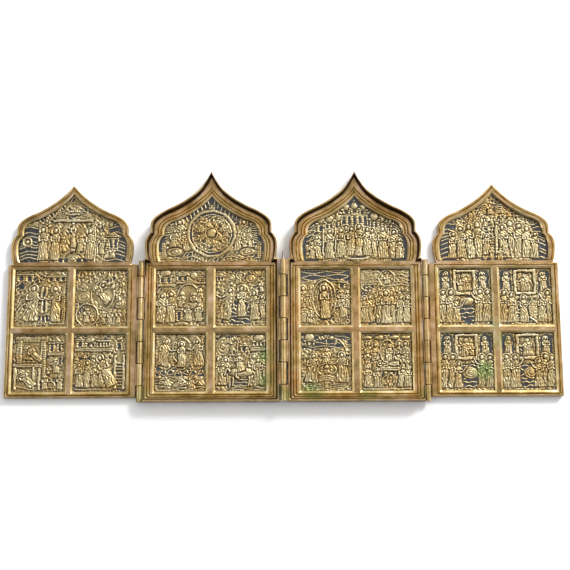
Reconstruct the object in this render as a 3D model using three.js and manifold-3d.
// Folding travel icon: four cast brass leaves on three pin hinges, laid open flat on their backs.
// Millimetres. X runs across the leaves, Y towards the peaks, Z out of the carved fronts.

import * as THREE from 'three';
import { mergeVertices } from 'three/addons/utils/BufferGeometryUtils.js';
import Module from 'manifold-3d';

const wasm = await Module();
wasm.setup();

// Widths, measured from the outer hinge axis of each leaf
const OUTER_REACH = 98.4;
const LEAF_GAP = 2.7;
const CENTRE_GAP = 3.2;
const GRID_SHIFT = 1.05;
const OUTER_SIDE_BANDS = 12.8;
const OUTER_MULLION = 6.5;
const MIDDLE_SIDE_BANDS = 18.1;
const MIDDLE_MULLION = 7.4;

// Heights, from the foot of an outer leaf upwards
const FOOT_BAND = 4.6;
const PANEL_HEIGHT = 41.9;
const CROSS_BAR = 6.3;
const SHOULDER_DROP = 1.9;

// Ogee head: how far each point stays inside its widest lobe, and heights above the shoulders
const LOBE_INSIDE_EDGE = 2.45;
const FOOT_INSIDE_LOBE = 2.3;
const LOBE_RISE = 13.5;
const CUSP_INSIDE_LOBE = 4.0;
const CUSP_RISE = 22.5;
const ARCH_RISE = 27.5;
const EAVE_INSIDE_LOBE = 17.9;
const EAVE_RISE = 39.3;
const PEAK_RISE = 60.4;
const SPIRE_RISE = 4.7;
const SPIRE_HALF_WIDTH = 10;

// Thicknesses and the tray that an outer leaf folds into
const GROUND_THICKNESS = 1.4;
const FRAME_THICKNESS = 4.4;
const RIM_THICKNESS = 9.4;
const RIM_WALL = 2.6;
const RIM_SLOPE = 1.75;
const TRAY_CLEARANCE = 0.8;
const FOLD_CLEARANCE = 0.4;
const BAR_BEVEL = 1.6;
const HEAD_BEVEL = 1.2;
const OUTER_HEAD_BAND = 4.0;
const MIDDLE_HEAD_BAND = 5.3;
const RELIEF_BELOW_FRAME = 0.4;

// Hinges: seven cast knuckles on one steel pin
const KNUCKLE_COUNT = 7;
const END_KNUCKLE_LENGTH = 11.8;
const OUTER_KNUCKLE_RADIUS = 2.0;
const CENTRE_KNUCKLE_RADIUS = 2.2;
const KNUCKLE_GAP = 0.35;
const KNUCKLE_ABOVE_SHOULDER = 2.3;
const PIN_RADIUS = 0.7;
const PIN_CLEARANCE = 0.3;
const CENTRE_PIN_STANDS_UP = 6.2;
const PIN_POINT = 2.4;

// Facets
const CURVE_STEPS = 3;
const KNUCKLE_SIDES = 8;
const BORE_SIDES = 6;
const BURY = 0.5;

// Levels that follow from the sizes above
const RIM_BAND = TRAY_CLEARANCE + RIM_WALL;
const HINGE_SPACING = OUTER_REACH + RIM_BAND + CENTRE_GAP;
const GRID_CENTRE = (LEAF_GAP + OUTER_REACH) / 2 + GRID_SHIFT;
const LOBE_HALF_WIDTH = (OUTER_REACH - LEAF_GAP) / 2 - LOBE_INSIDE_EDGE;
const FOOT_HALF_WIDTH = LOBE_HALF_WIDTH - FOOT_INSIDE_LOBE;
const CUSP_HALF_WIDTH = LOBE_HALF_WIDTH - CUSP_INSIDE_LOBE;
const EAVE_HALF_WIDTH = LOBE_HALF_WIDTH - EAVE_INSIDE_LOBE;
const SHOULDER_ABOVE_FOOT = FOOT_BAND + 2 * PANEL_HEIGHT + 2 * CROSS_BAR - SHOULDER_DROP;
const peakAboveFoot = SHOULDER_ABOVE_FOOT + headProfile(-RIM_BAND, SPIRE_RISE, 0).at(-1).y;
const FOOT = RIM_BAND - (peakAboveFoot + RIM_BAND) / 2;
const SHOULDER = FOOT + SHOULDER_ABOVE_FOOT;
const HEAD_FLOOR = SHOULDER + SHOULDER_DROP;
const OUTER_AXIS_HEIGHT = FRAME_THICKNESS + FOLD_CLEARANCE / 2;
const CENTRE_AXIS_HEIGHT = RIM_THICKNESS + FOLD_CLEARANCE / 2;
const KNUCKLE_TOP = SHOULDER + KNUCKLE_ABOVE_SHOULDER;
const KNUCKLE_BOTTOM = FOOT - RIM_BAND;
const RELIEF_TOP = FRAME_THICKNESS - RELIEF_BELOW_FRAME;
const RELIEF = RELIEF_TOP - GROUND_THICKNESS;

function curve(start, pull, end) {
  const [from, control, to] = [start, pull, end].map(([x, y]) => new THREE.Vector2(x, y));
  return new THREE.QuadraticBezierCurve(from, control, to).getPoints(CURVE_STEPS);
}

// Half of the ogee head from its foot up to its peak, drawn inwards by inset or outwards below 0
function headProfile(inset, spire, floor) {
  const lobe = -LOBE_HALF_WIDTH + inset;
  const cusp = -CUSP_HALF_WIDTH + inset;
  const cuspRise = CUSP_RISE - 0.1 * inset;
  const eave = [-EAVE_HALF_WIDTH + 0.4 * inset, EAVE_RISE - 0.92 * inset];
  const archPull = (ARCH_RISE + EAVE_RISE) / 2 + 0.6 - 0.4 * inset;
  const roofPull = (EAVE_RISE + PEAK_RISE) / 2 - 2.8 - 0.8 * inset;
  const half = [
    ...curve([-FOOT_HALF_WIDTH + inset, 0], [lobe, LOBE_RISE / 3], [lobe, LOBE_RISE]).slice(0, -1),
    ...curve([lobe, LOBE_RISE], [lobe, cuspRise - 3], [cusp, cuspRise]),
    ...curve([cusp, ARCH_RISE - 0.55 * inset], [cusp, archPull], eave).slice(0, -1),
    ...curve(eave, [-EAVE_HALF_WIDTH * 0.4 + 0.6 * inset, roofPull], [0, PEAK_RISE - 1.34 * inset]),
  ];
  for (const point of half) {
    const share = Math.max(0, 1 - Math.abs(point.x) / SPIRE_HALF_WIDTH);
    point.y += spire * share * share;
  }
  return clippedAtFloor(half, floor);
}

function clippedAtFloor(points, floor) {
  const first = points.findIndex((point) => point.y > floor + 0.01);
  const foot = points[first].clone();
  if (first > 0) {
    const below = points[first - 1];
    const share = (floor - below.y) / (points[first].y - below.y);
    foot.copy(below).lerp(points[first], share);
  }
  foot.y = floor;
  return [foot, ...points.slice(first)];
}

// Closed outline of the whole head, in the leaf's own X and the shared Y
function headOutline(inset, spire, floor) {
  const left = headProfile(inset, spire, floor - SHOULDER);
  const right = left.slice(0, -1).reverse();
  const points = [...left, ...right.map((point) => new THREE.Vector2(-point.x, point.y))];
  return points.map((point) => new THREE.Vector2(point.x, point.y + SHOULDER));
}

function rectangle(left, bottom, right, top) {
  return [[left, bottom], [right, bottom], [right, top], [left, top]]
    .map(([x, y]) => new THREE.Vector2(x, y));
}

// Solids for joining and cutting
function solid(geometry) {
  const bare = geometry.clone();
  bare.deleteAttribute('normal');
  bare.deleteAttribute('uv');
  const merged = mergeVertices(bare, 1e-4);
  return new wasm.Manifold(new wasm.Mesh({
    numProp: 3,
    vertProperties: new Float32Array(merged.attributes.position.array),
    triVerts: new Uint32Array(merged.index.array),
  }));
}

function prism(points, bottom, top) {
  const shape = new THREE.Shape(points);
  const geometry = new THREE.ExtrudeGeometry(shape, { depth: top - bottom, bevelEnabled: false });
  return solid(geometry.translate(0, 0, bottom));
}

// A cutter whose walls lean outwards by flare between two levels
function flared(points, bottom, top, flare) {
  const shape = new THREE.Shape(points);
  const geometry = new THREE.ExtrudeGeometry(shape, {
    depth: 1,
    bevelThickness: top - bottom,
    bevelSize: flare,
    bevelSegments: 1,
  });
  return solid(geometry.translate(0, 0, top));
}

function box(left, bottom, low, right, top, high) {
  const geometry = new THREE.BoxGeometry(right - left, top - bottom, high - low);
  return solid(geometry.translate((left + right) / 2, (bottom + top) / 2, (low + high) / 2));
}

function joined(solids) {
  return solids.reduce((whole, next) => whole.add(next));
}

// Carving: each form is placed by shares of its field, and stands on the sunk ground
class Field {
  constructor(left, bottom, width, height, outline) {
    Object.assign(this, { left, bottom, width, height, outline });
    this.forms = [];
  }

  x(share) {
    return this.left + share * this.width;
  }

  y(share) {
    return this.bottom + share * this.height;
  }

  add(geometry, x, y, lift = 0) {
    this.forms.push(solid(geometry.translate(this.x(x), this.y(y), GROUND_THICKNESS + lift)));
    return this;
  }

  // A robed figure: a head above a ridged robe that widens to its hem
  figure(x, y, tall, { lean = 0, wide = 0.36, relief = 0.82 } = {}) {
    const height = tall * this.height;
    const hem = height * wide * 0.5;
    const robe = new THREE.CylinderGeometry(hem * 0.6, hem, height * 0.78, 4);
    robe.scale(1, 1, (relief * RELIEF) / hem);
    robe.translate(0, height * 0.39, 0);
    const radius = height * 0.09;
    const head = new THREE.OctahedronGeometry(radius);
    head.scale(1, 1.2, (relief * RELIEF) / radius);
    head.translate(0, height * 0.9, 0);
    this.add(robe.rotateZ(lean), x, y);
    return this.add(head.rotateZ(lean), x, y);
  }

  // Figures side by side, no wider than the room each of them has
  row(from, to, y, tall, count, { wide = 0.36, ...options } = {}) {
    const room = ((to - from) * this.width) / Math.max(count - 1, 1);
    const fitted = Math.min(wide, (0.9 * room) / (tall * this.height));
    for (let i = 0; i < count; i += 1) {
      const share = count > 1 ? i / (count - 1) : 0.5;
      this.figure(from + (to - from) * share, y, tall, { ...options, wide: fitted });
    }
    return this;
  }

  // Heads packed behind one another over a common block of shoulders
  crowd(left, bottom, right, top, count) {
    this.slab(left, bottom, right, top - 0.12, 0.45);
    for (let i = 0; i < count; i += 1) {
      const size = (0.34 * (right - left) * this.width) / Math.max(count - 1, 1);
      const head = new THREE.OctahedronGeometry(size).scale(1, 1.2, (0.75 * RELIEF) / size);
      const share = (i + 0.5) / count;
      this.add(head, left + (right - left) * share, top - 0.05 - (i % 2) * 0.04);
    }
    return this;
  }

  slab(left, bottom, right, top, relief = 0.5) {
    const width = (right - left) * this.width;
    const height = (top - bottom) * this.height;
    const geometry = new THREE.BoxGeometry(width, height, 2 * relief * RELIEF);
    return this.add(geometry, (left + right) / 2, (bottom + top) / 2);
  }

  // A straight bar from one point to another
  bar(x0, y0, x1, y1, thick = 0.03, relief = 0.6) {
    const dx = (x1 - x0) * this.width;
    const dy = (y1 - y0) * this.height;
    const length = Math.hypot(dx, dy);
    const geometry = new THREE.BoxGeometry(length, thick * this.height, 2 * relief * RELIEF);
    geometry.rotateZ(Math.atan2(dy, dx));
    return this.add(geometry, (x0 + x1) / 2, (y0 + y1) / 2);
  }

  gable(x, y, wide, tall, relief = 0.55) {
    const half = (wide * this.width) / 2;
    const shape = new THREE.Shape([
      new THREE.Vector2(-half, 0),
      new THREE.Vector2(half, 0),
      new THREE.Vector2(0, tall * this.height),
    ]);
    const depth = 2 * relief * RELIEF;
    const geometry = new THREE.ExtrudeGeometry(shape, { depth, bevelEnabled: false });
    return this.add(geometry, x, y, -depth / 2);
  }

  // A tower with a pointed or rounded cap
  tower(x, y, wide, tall, cap = 0.35, relief = 0.6) {
    this.slab(x - wide / 2, y, x + wide / 2, y + tall, relief);
    const radius = (wide * this.width) / 2;
    const top = new THREE.OctahedronGeometry(radius * 1.15);
    top.scale(1, (cap * tall * this.height) / radius, (relief * RELIEF) / radius);
    return this.add(top, x, y + tall);
  }

  mound(x, y, wide, tall, relief = 0.5) {
    const geometry = new THREE.OctahedronGeometry(1);
    geometry.scale((wide * this.width) / 2, (tall * this.height) / 2, relief * RELIEF);
    return this.add(geometry, x, y);
  }

  // A raised hoop, round or oval
  hoop(x, y, wide, tall, thick = 0.03, sides = 8, relief = 0.5) {
    const radius = (wide * this.width) / 2;
    const geometry = new THREE.TorusGeometry(radius, thick * this.height, 3, sides);
    const oval = (tall * this.height) / (wide * this.width);
    geometry.scale(1, oval, (relief * RELIEF) / (thick * this.height));
    return this.add(geometry, x, y);
  }

  disc(x, y, wide, relief = 0.6) {
    const radius = (wide * this.width) / 2;
    const geometry = new THREE.CylinderGeometry(radius, radius, 2 * relief * RELIEF, 6);
    return this.add(geometry.rotateX(Math.PI / 2), x, y);
  }

  // Parallel low strokes, as of water or steps
  strokes(left, bottom, right, top, count, slope = 0, relief = 0.35) {
    const step = (top - bottom) / count;
    for (let i = 0; i < count; i += 1) {
      const y = bottom + (i + 0.5) * step;
      this.bar(left, y - slope / 2, right, y + slope / 2, step * 0.4, relief);
    }
    return this;
  }

  // Everything carved in this field, held inside its edge and below the frame's front
  carving() {
    const hold = prism(this.outline, GROUND_THICKNESS - BURY, RELIEF_TOP);
    return joined(this.forms).intersect(hold);
  }
}

// Carvings of the four heads
function crossRaisedBetweenGroups(field) {
  field.slab(0.487, 0.12, 0.513, 0.7, 0.8);
  field.slab(0.35, 0.64, 0.65, 0.68, 0.8);
  field.figure(0.5, 0.3, 0.34, { wide: 0.3, relief: 1 });
  field.figure(0.5, 0.7, 0.24, { wide: 0.7 });
  field.bar(0.33, 0.66, 0.46, 0.78, 0.05);
  field.bar(0.67, 0.66, 0.54, 0.78, 0.05);
  field.mound(0.5, 0.08, 0.16, 0.16);
  for (const x of [0.22, 0.34]) field.figure(x, 0.06, 0.56, { wide: 0.26 });
  field.figure(0.65, 0.08, 0.44, { wide: 0.3 });
  field.figure(0.76, 0.18, 0.44, { wide: 0.34 });
  field.figure(0.87, 0.3, 0.26);
  for (const x of [0.43, 0.58]) field.figure(x, 0.28, 0.26);
  field.disc(0.1, 0.45, 0.07, 0.5);
  for (const x of [0.02, 0.82]) field.strokes(x, 0.04, x + 0.14, 0.28, 2);
}

function medallionAmongGroups(field) {
  field.hoop(0.51, 0.4, 0.45, 0.7, 0.028, 14, 0.9);
  field.mound(0.5, 0.42, 0.1, 0.16, 1);
  field.figure(0.5, 0.7, 0.2, { wide: 0.6 });
  field.figure(0.5, 0.5, 0.2, { wide: 0.6 });
  field.row(0.38, 0.63, 0.16, 0.24, 4);
  for (const x of [0.2, 0.8]) {
    field.figure(x, 0.36, 0.26, { wide: 0.4 });
    field.figure(x - 0.04, 0.12, 0.24, { wide: 0.4 });
    field.figure(x + 0.05, 0.14, 0.24, { wide: 0.4 });
  }
  for (const x of [0.05, 0.7]) field.strokes(x, 0.01, x + 0.25, 0.08, 1);
  for (let i = 0; i < 3; i += 1) {
    for (const side of [-1, 1]) {
      const x = 0.5 + side * (0.09 + i * 0.07);
      const y = 0.86 - i * 0.095;
      field.bar(x, y, x - side * 0.015, y - 0.07, 0.02, 0.4);
    }
  }
}

function domedChurchWithGroups(field) {
  field.tower(0.5, 0.56, 0.055, 0.22, 0.5);
  for (const side of [-1, 1]) {
    field.tower(0.5 + side * 0.08, 0.56, 0.055, 0.16, 0.5);
    for (const [x, tall] of [[0.2, 0.18], [0.31, 0.1]]) field.tower(0.5 + side * x, 0.42, 0.05, tall, 0.5);
  }
  field.slab(0.38, 0.48, 0.63, 0.57, 0.55);
  for (const [left, right] of [[0.13, 0.36], [0.65, 0.88]]) field.slab(left, 0.43, right, 0.48, 0.45);
  for (const x of [0.3, 0.37, 0.66]) field.slab(x - 0.01, 0.06, x + 0.01, 0.44, 0.4);
  field.row(0.42, 0.58, 0.08, 0.42, 4, { wide: 0.34 });
  for (const x of [0.14, 0.235, 0.77, 0.88]) field.figure(x, 0.05, 0.42, { wide: 0.28 });
  field.strokes(0.4, 0.01, 0.6, 0.08, 2);
}

function assemblyUnderHalfFigure(field) {
  field.figure(0.5, 0.6, 0.26, { wide: 0.7 });
  field.disc(0.5, 0.84, 0.1, 0.3);
  for (const side of [-1, 1]) {
    field.bar(0.5 + side * 0.04, 0.7, 0.5 + side * 0.17, 0.6, 0.06, 0.5);
    field.row(0.5 + side * 0.17, 0.5 + side * 0.36, 0.34, 0.32, 2);
    field.row(0.5 + side * 0.14, 0.5 + side * 0.37, 0.04, 0.42, 3, { wide: 0.3 });
    field.strokes(0.5 - 0.055 + side * 0.445, 0.05, 0.5 + 0.055 + side * 0.445, 0.4, 3);
  }
  field.figure(0.5, 0.14, 0.4, { wide: 0.4 });
  field.slab(0.44, 0.05, 0.56, 0.14, 0.5);
}

// Carvings of the sixteen square panels
function greetingBeforePillars(field) {
  field.figure(0.36, 0.08, 0.68, { lean: 0.06, wide: 0.42 });
  field.bar(0.05, 0.3, 0.3, 0.62, 0.12, 0.5);
  field.bar(0.4, 0.5, 0.52, 0.58, 0.04, 0.7);
  field.figure(0.8, 0.04, 0.7, { wide: 0.26 });
  field.slab(0.5, 0.66, 0.66, 0.72, 0.5);
  for (const x of [0.56, 0.63]) field.slab(x - 0.015, 0.2, x + 0.015, 0.66, 0.45);
  field.gable(0.8, 0.86, 0.34, 0.12);
  field.slab(0.02, 0.86, 0.32, 0.92, 0.4);
  field.bar(0.36, 0.92, 0.52, 0.76, 0.03, 0.4);
  field.strokes(0.05, 0.0, 0.7, 0.07, 1);
}

function couchAmongHills(field) {
  field.hoop(0.5, 0.55, 0.4, 0.5, 0.02, 6, 0.4);
  field.figure(0.64, 0.36, 0.4, { lean: 0.6, wide: 0.4, relief: 1 });
  for (const side of [-1, 1]) field.figure(0.5 + side * 0.34, 0.74, 0.2, { lean: side * 0.5, wide: 0.6 });
  field.disc(0.5, 0.94, 0.12, 0.4);
  field.hoop(0.26, 0.22, 0.38, 0.36, 0.02, 6, 0.6);
  field.figure(0.26, 0.1, 0.22);
  field.mound(0.16, 0.5, 0.26, 0.2);
  field.figure(0.85, 0.42, 0.26);
  field.row(0.62, 0.88, 0.04, 0.28, 2);
}

function houseAndTower(field) {
  field.slab(0.03, 0.92, 0.62, 0.98, 0.6);
  for (const x of [0.12, 0.58]) field.slab(x - 0.03, 0.5, x + 0.03, 0.92, 0.5);
  field.slab(0.0, 0.45, 0.62, 0.5, 0.6);
  field.figure(0.48, 0.52, 0.36, { lean: 0.75, wide: 0.4 });
  field.slab(0.62, 0.1, 0.68, 0.6, 0.6);
  field.figure(0.34, 0.08, 0.36, { lean: 0.5, wide: 0.45 });
  field.slab(0.02, 0.04, 0.06, 0.44, 0.5);
  field.slab(0.66, 0.68, 1, 0.73, 0.5);
  for (const x of [0.73, 0.9]) field.tower(x, 0.72, 0.06, 0.18, 0.3);
  field.figure(0.8, 0.32, 0.34, { lean: -0.2, wide: 0.4 });
  field.row(0.72, 0.92, 0.03, 0.3, 2, { wide: 0.4 });
}

function procession(field) {
  field.slab(0.08, 0.78, 0.72, 0.84, 0.55);
  for (const x of [0.2, 0.42, 0.64]) field.gable(x, 0.84, 0.2, 0.12);
  field.tower(0.83, 0.74, 0.1, 0.14, 0.4);
  field.slab(0.0, 0.68, 0.3, 0.73, 0.4);
  field.row(0.1, 0.34, 0.06, 0.5, 3, { wide: 0.36 });
  field.figure(0.46, 0.44, 0.22, { wide: 0.5 });
  field.row(0.5, 0.7, 0.06, 0.54, 2, { wide: 0.4, lean: 0.08 });
  for (const x of [0.77, 0.9]) field.slab(x - 0.015, 0.05, x + 0.015, 0.6, 0.4);
  field.strokes(0.78, 0.08, 0.89, 0.44, 4);
}

function birthBeforeHouses(field) {
  field.tower(0.17, 0.76, 0.14, 0.12, 0.5);
  field.gable(0.5, 0.86, 0.26, 0.1);
  field.slab(0.66, 0.78, 0.82, 0.94, 0.5);
  field.slab(0.0, 0.68, 0.4, 0.73, 0.55);
  field.slab(0.38, 0.76, 0.98, 0.8, 0.45);
  field.row(0.1, 0.3, 0.3, 0.36, 2, { wide: 0.4 });
  field.figure(0.5, 0.32, 0.34, { wide: 0.44 });
  field.figure(0.78, 0.18, 0.5, { lean: 0.1, wide: 0.5, relief: 1 });
  field.mound(0.45, 0.2, 0.22, 0.22);
  field.mound(0.2, 0.16, 0.3, 0.2);
  field.slab(0.4, 0.02, 0.52, 0.1, 0.5);
}

function figureInRiver(field) {
  field.figure(0.52, 0.34, 0.44, { wide: 0.34, relief: 1 });
  field.hoop(0.52, 0.56, 0.3, 0.5, 0.018, 6, 0.4);
  field.strokes(0.36, 0.02, 0.54, 0.36, 3, 0.08);
  field.strokes(0.56, 0.02, 0.72, 0.36, 3, 0.08);
  field.figure(0.2, 0.2, 0.5, { wide: 0.4, lean: -0.12 });
  field.row(0.76, 0.9, 0.16, 0.46, 3, { wide: 0.34 });
  field.mound(0.2, 0.84, 0.34, 0.2);
  field.mound(0.72, 0.84, 0.3, 0.2);
  field.bar(0.8, 0.7, 0.96, 0.9, 0.07, 0.5);
}

function figuresOnThreeHills(field) {
  field.figure(0.52, 0.46, 0.46, { wide: 0.34, relief: 1 });
  field.hoop(0.52, 0.7, 0.34, 0.5, 0.016, 6, 0.4);
  field.figure(0.26, 0.46, 0.42, { lean: -0.16, wide: 0.4 });
  field.figure(0.82, 0.46, 0.42, { lean: 0.12, wide: 0.4 });
  for (const x of [0.2, 0.52, 0.82]) field.mound(x, 0.42, 0.24, 0.14);
  for (const x of [0.04, 0.28, 0.52, 0.76]) field.bar(x, 0.36, x + 0.22, 0.3, 0.025, 0.4);
  for (const [x, lean] of [[0.1, 0.4], [0.36, -0.9], [0.6, 0.8], [0.86, -0.3]]) {
    field.figure(x, 0.05, 0.24, { lean, wide: 0.6, relief: 0.9 });
  }
}

function riderBeforeTown(field) {
  field.mound(0.16, 0.82, 0.28, 0.3);
  field.bar(0.44, 0.62, 0.36, 0.86, 0.025, 0.6);
  field.mound(0.4, 0.88, 0.2, 0.12);
  field.tower(0.84, 0.76, 0.2, 0.1, 0.6);
  field.slab(0.62, 0.7, 0.98, 0.76, 0.5);
  field.figure(0.46, 0.36, 0.36, { wide: 0.4, relief: 1 });
  field.mound(0.5, 0.33, 0.46, 0.16, 1);
  field.bar(0.68, 0.34, 0.8, 0.24, 0.06, 0.9);
  for (const x of [0.34, 0.4, 0.6, 0.66]) field.slab(x - 0.015, 0.08, x + 0.015, 0.3, 0.6);
  field.crowd(0.02, 0.1, 0.24, 0.6, 3);
  field.crowd(0.76, 0.14, 0.98, 0.62, 3);
  field.mound(0.48, 0.08, 0.2, 0.08);
}

function figureInRays(field) {
  field.hoop(0.47, 0.4, 0.42, 0.7, 0.016, 10, 0.45);
  field.figure(0.47, 0.1, 0.6, { wide: 0.34, relief: 1 });
  for (const side of [-1, 1]) {
    for (const y of [0.3, 0.5]) field.bar(0.47 + side * 0.12, y, 0.47 + side * 0.2, y + 0.02, 0.02, 0.35);
  }
  field.crowd(0.02, 0.3, 0.24, 0.72, 3);
  field.crowd(0.74, 0.4, 0.98, 0.78, 3);
  field.figure(0.12, 0.04, 0.34);
  field.figure(0.84, 0.04, 0.44, { wide: 0.34 });
  for (const x of [0.02, 0.35, 0.68]) field.bar(x, 0.9, x + 0.3, 0.84, 0.03, 0.4);
}

function risingAboveRow(field) {
  field.figure(0.52, 0.68, 0.28, { wide: 0.7 });
  field.hoop(0.52, 0.84, 0.34, 0.28, 0.02, 6, 0.5);
  field.figure(0.26, 0.58, 0.24, { lean: -0.3, wide: 0.5 });
  for (const x of [0.04, 0.74]) field.bar(x, 0.89, x + 0.24, 0.85, 0.035, 0.4);
  field.figure(0.5, 0.04, 0.58, { wide: 0.42, relief: 1 });
  for (const x of [0.08, 0.22]) field.figure(x, 0.03, 0.5, { wide: 0.3 });
  for (const x of [0.78, 0.92]) field.figure(x, 0.04, 0.54, { wide: 0.3 });
}

function threeAtTable(field) {
  field.figure(0.22, 0.2, 0.52, { wide: 0.42, lean: -0.05 });
  field.figure(0.48, 0.42, 0.4, { wide: 0.5 });
  field.figure(0.78, 0.22, 0.5, { wide: 0.42, lean: 0.05 });
  field.mound(0.49, 0.42, 0.36, 0.14, 0.8);
  field.slab(0.34, 0.18, 0.62, 0.38, 0.6);
  field.slab(0.06, 0.76, 0.32, 0.8, 0.5);
  field.tower(0.18, 0.8, 0.12, 0.1, 0.4);
  field.mound(0.48, 0.93, 0.22, 0.1);
  field.mound(0.86, 0.86, 0.2, 0.2);
  field.strokes(0.16, 0.02, 0.36, 0.14, 2);
  for (const x of [0.38, 0.5, 0.6]) field.mound(x, 0.06, 0.08, 0.1);
}

function bierBeforeNiche(field) {
  field.hoop(0.5, 0.72, 0.32, 0.44, 0.014, 6, 0.4);
  field.figure(0.5, 0.48, 0.38, { wide: 0.4, relief: 1 });
  field.slab(0.3, 0.36, 0.76, 0.42, 0.7);
  field.mound(0.54, 0.44, 0.46, 0.1, 0.8);
  field.crowd(0.03, 0.44, 0.3, 0.86, 3);
  field.crowd(0.72, 0.44, 0.97, 0.86, 3);
  for (const x of [0.14, 0.84]) field.figure(x, 0.05, 0.44, { wide: 0.4 });
  field.hoop(0.52, 0.2, 0.12, 0.2, 0.012, 6, 0.4);
  for (const x of [0.2, 0.5, 0.8]) field.mound(x, 0.95, 0.24, 0.08);
  field.bar(0.36, 0.06, 0.42, 0.32, 0.04, 0.6);
}

// A framed picture carried above two groups, the scheme of all four panels of the last leaf
function pictureAboveGroups(field, { left, right, table }) {
  for (const x of [0.32, 0.68]) field.slab(x - 0.018, 0.56, x + 0.018, 0.97, 0.75);
  for (const y of [0.57, 0.97]) field.slab(0.3, y - 0.018, 0.7, y + 0.012, 0.75);
  field.figure(0.5, 0.58, 0.36, { wide: 0.62, relief: 0.7 });
  for (const x of [0.15, 0.86]) field.figure(x, 0.56, 0.38, { wide: 0.42 });
  left.forEach((x, i) => field.figure(x, 0.04, 0.5 - (i === 2 ? 0.06 : 0), { wide: 0.32 }));
  right.forEach((x) => field.figure(x, 0.04, 0.5, { wide: 0.34 }));
  if (table) field.slab(0.46, 0.16, 0.76, 0.42, 0.45);
  else field.strokes(0.41, 0.05, 0.66, 0.38, 3, 0.03);
}

// Panels in reading order: upper left, upper right, lower left, lower right
const CARVINGS = {
  leaf_outer_left: [
    crossRaisedBetweenGroups, greetingBeforePillars, couchAmongHills, houseAndTower, procession,
  ],
  leaf_middle_left: [
    medallionAmongGroups, birthBeforeHouses, figureInRiver, figuresOnThreeHills, riderBeforeTown,
  ],
  leaf_middle_right: [
    domedChurchWithGroups, figureInRays, risingAboveRow, threeAtTable, bierBeforeNiche,
  ],
  leaf_outer_right: [
    assemblyUnderHalfFigure,
    (field) => pictureAboveGroups(field, { left: [0.08, 0.22, 0.35], right: [0.78, 0.92] }),
    (field) => pictureAboveGroups(field, { left: [0.1, 0.24, 0.4], right: [0.86], table: true }),
    (field) => pictureAboveGroups(field, { left: [0.1, 0.24, 0.36], right: [0.78, 0.93] }),
    (field) => pictureAboveGroups(field, { left: [0.1, 0.26], right: [0.72, 0.84] }),
  ],
};

// Sunk fields of one leaf: the head first, then the four panels
function fieldsOf(kind) {
  const panelWidth = (kind.reach - LEAF_GAP - kind.sideBands - kind.mullion) / 2;
  const headHalf = LOBE_HALF_WIDTH - kind.headBand - HEAD_BEVEL;
  const head = headOutline(kind.headBand + HEAD_BEVEL, 0, HEAD_FLOOR);
  const headTop = Math.max(...head.map((point) => point.y));
  const fields = [new Field(-headHalf, HEAD_FLOOR, 2 * headHalf, headTop - HEAD_FLOOR, head)];
  for (const row of [1, 0]) {
    const bottom = FOOT + FOOT_BAND + row * (PANEL_HEIGHT + CROSS_BAR);
    for (const left of [-kind.mullion / 2 - panelWidth, kind.mullion / 2]) {
      const outline = rectangle(left, bottom, left + panelWidth, bottom + PANEL_HEIGHT);
      fields.push(new Field(left, bottom, panelWidth, PANEL_HEIGHT, outline));
    }
  }
  return fields;
}

// Plate with sunk fields and the carving in them. side is 1 where the outer hinge is on the left
function framedPlate(kind, side, carvings) {
  const edges = [LEAF_GAP, kind.reach].map((u) => side * (u - GRID_CENTRE)).sort((a, b) => a - b);
  const body = rectangle(edges[0], FOOT - kind.band, edges[1], SHOULDER + kind.band);
  const head = headOutline(-kind.band, kind.spire, SHOULDER);
  let plate = prism(body, 0, FRAME_THICKNESS).add(prism(head, 0, FRAME_THICKNESS));
  if (kind.rim) {
    const rim = prism(body, BURY, RIM_THICKNESS).add(prism(head, BURY, RIM_THICKNESS));
    plate = plate.add(rim.subtract(tray(side)));
  }
  fieldsOf(kind).forEach((field, i) => {
    const flare = i === 0 ? HEAD_BEVEL : BAR_BEVEL;
    plate = plate.subtract(flared(field.outline, GROUND_THICKNESS, FRAME_THICKNESS, flare));
    carvings[i](field);
    plate = plate.add(field.carving());
  });
  return plate;
}

// The room that the folded outer leaf takes inside a middle leaf's rim. Its walls lean outwards,
// so that the leaf's edge clears them as it swings in
function tray(side) {
  const far = side * (OUTER_REACH + TRAY_CLEARANCE - GRID_CENTRE);
  const near = side * (-RIM_BAND - GRID_CENTRE);
  const body = rectangle(
    Math.min(near, far),
    FOOT - TRAY_CLEARANCE,
    Math.max(near, far),
    SHOULDER + TRAY_CLEARANCE,
  );
  const head = headOutline(-TRAY_CLEARANCE, SPIRE_RISE, SHOULDER);
  return joined([body, head].map((points) => flared(points, FRAME_THICKNESS, RIM_THICKNESS, RIM_SLOPE)));
}

// Ends of one knuckle, counted from the top of the hinge
function knuckleSpan(index) {
  const inner = (KNUCKLE_TOP - KNUCKLE_BOTTOM - 2 * END_KNUCKLE_LENGTH) / (KNUCKLE_COUNT - 2);
  const split = (i) => {
    if (i === 0) return KNUCKLE_TOP;
    if (i === KNUCKLE_COUNT) return KNUCKLE_BOTTOM;
    return KNUCKLE_TOP - END_KNUCKLE_LENGTH - (i - 1) * inner;
  };
  const start = split(index) - (index > 0 ? KNUCKLE_GAP / 2 : 0);
  const end = split(index + 1) + (index < KNUCKLE_COUNT - 1 ? KNUCKLE_GAP / 2 : 0);
  return [end, start];
}

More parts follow.
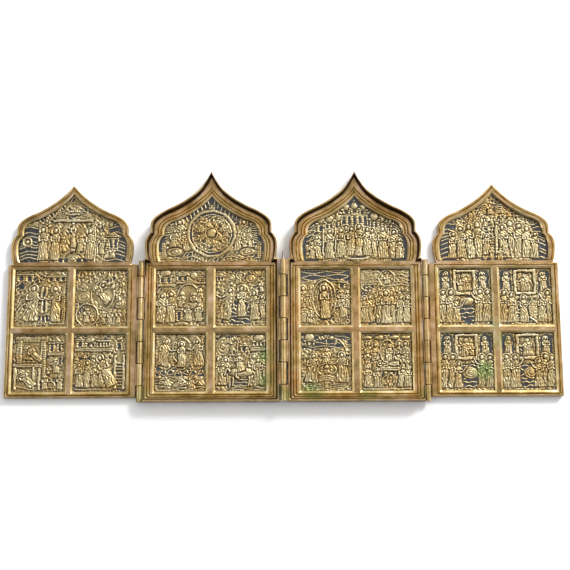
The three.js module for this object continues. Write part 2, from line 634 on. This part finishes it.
// Every second knuckle of a hinge at x, with a lug that ties it to the leaf on its side
function knuckles(plate, x, height, radius, first, towardsLeaf, tie) {
  let whole = plate;
  const bores = [];
  for (let i = first; i < KNUCKLE_COUNT; i += 2) {
    const [bottom, top] = knuckleSpan(i);
    const length = top - bottom;
    const barrel = new THREE.CylinderGeometry(radius, radius, length, KNUCKLE_SIDES);
    const bore = new THREE.CylinderGeometry(
      PIN_RADIUS + PIN_CLEARANCE,
      PIN_RADIUS + PIN_CLEARANCE,
      length + 1,
      BORE_SIDES,
    );
    whole = whole.add(solid(barrel.translate(x, bottom + length / 2, height)));
    const lugTop = Math.min(top, SHOULDER + tie.band);
    const reach = x + towardsLeaf * (tie.gap + BURY);
    const ends = [x + towardsLeaf * radius * 0.2, reach].sort((a, b) => a - b);
    whole = whole.add(box(ends[0], bottom, height - radius * 0.96, ends[1], lugTop, tie.top));
    bores.push(solid(bore.translate(x, bottom + length / 2, height)));
  }
  return bores.reduce((cut, bore) => cut.subtract(bore), whole);
}

const OUTER = {
  reach: OUTER_REACH,
  band: 0,
  spire: 0,
  rim: false,
  sideBands: OUTER_SIDE_BANDS,
  mullion: OUTER_MULLION,
  headBand: OUTER_HEAD_BAND,
};
const MIDDLE = {
  reach: OUTER_REACH + RIM_BAND,
  band: RIM_BAND,
  spire: SPIRE_RISE,
  rim: true,
  sideBands: MIDDLE_SIDE_BANDS,
  mullion: MIDDLE_MULLION,
  headBand: MIDDLE_HEAD_BAND,
};

// side is 1 where the leaf's outer hinge is on its left, and -1 where it is on its right
function leafSolid(name, kind, side, firstOuter, firstCentre) {
  const plate = framedPlate(kind, side, CARVINGS[name]);
  const outerTie = { gap: LEAF_GAP, band: kind.band, top: FRAME_THICKNESS };
  const outerX = -side * GRID_CENTRE;
  let whole = knuckles(plate, outerX, OUTER_AXIS_HEIGHT, OUTER_KNUCKLE_RADIUS, firstOuter, side, outerTie);
  if (kind.rim) {
    const centreTie = { gap: HINGE_SPACING - MIDDLE.reach, band: kind.band, top: RIM_THICKNESS };
    const centreX = side * (HINGE_SPACING - GRID_CENTRE);
    whole = knuckles(
      whole, centreX, CENTRE_AXIS_HEIGHT, CENTRE_KNUCKLE_RADIUS, firstCentre, -side, centreTie,
    );
  }
  return whole;
}

function pinGeometry(standsUp) {
  const length = KNUCKLE_TOP - KNUCKLE_BOTTOM + standsUp;
  const profile = [
    new THREE.Vector2(0, 0),
    new THREE.Vector2(PIN_RADIUS, 0),
    new THREE.Vector2(PIN_RADIUS, length - PIN_POINT),
    new THREE.Vector2(0, length),
  ];
  return new THREE.LatheGeometry(profile, KNUCKLE_SIDES);
}

// One named mesh for each piece
const brass = { color: 0xa98352, roughness: 0.42, metalness: 0.9 };
const steel = { color: 0x77746f, roughness: 0.45, metalness: 0.9 };

function named(name, geometry, look) {
  const mesh = new THREE.Mesh(geometry, new THREE.MeshStandardMaterial(look));
  mesh.name = name;
  return mesh;
}

function geometryOf(manifold) {
  const { vertProperties, triVerts, numProp } = manifold.getMesh();
  const geometry = new THREE.BufferGeometry();
  geometry.setAttribute('position', new THREE.BufferAttribute(vertProperties, numProp));
  geometry.setIndex(new THREE.BufferAttribute(triVerts, 1));
  return geometry;
}

const icon = new THREE.Group();
const across = HINGE_SPACING + GRID_CENTRE;
const inside = HINGE_SPACING - GRID_CENTRE;
const leaves = [
  { name: 'leaf_outer_left', kind: OUTER, side: -1, at: -across, outer: 1 },
  { name: 'leaf_middle_left', kind: MIDDLE, side: 1, at: -inside, outer: 0, centre: 1 },
  { name: 'leaf_middle_right', kind: MIDDLE, side: -1, at: inside, outer: 0, centre: 0 },
  { name: 'leaf_outer_right', kind: OUTER, side: 1, at: across, outer: 1 },
];
for (const { name, kind, side, at, outer, centre } of leaves) {
  const leaf = named(name, geometryOf(leafSolid(name, kind, side, outer, centre)), brass);
  leaf.position.x = at;
  icon.add(leaf);
}

const pins = [
  { name: 'hinge_pin_left', x: -HINGE_SPACING, height: OUTER_AXIS_HEIGHT, standsUp: 0 },
  { name: 'hinge_pin_centre', x: 0, height: CENTRE_AXIS_HEIGHT, standsUp: CENTRE_PIN_STANDS_UP },
  { name: 'hinge_pin_right', x: HINGE_SPACING, height: OUTER_AXIS_HEIGHT, standsUp: 0 },
];
for (const { name, x, height, standsUp } of pins) {
  const pin = named(name, pinGeometry(standsUp), steel);
  pin.position.set(x, KNUCKLE_BOTTOM, height);
  icon.add(pin);
}

export default icon;
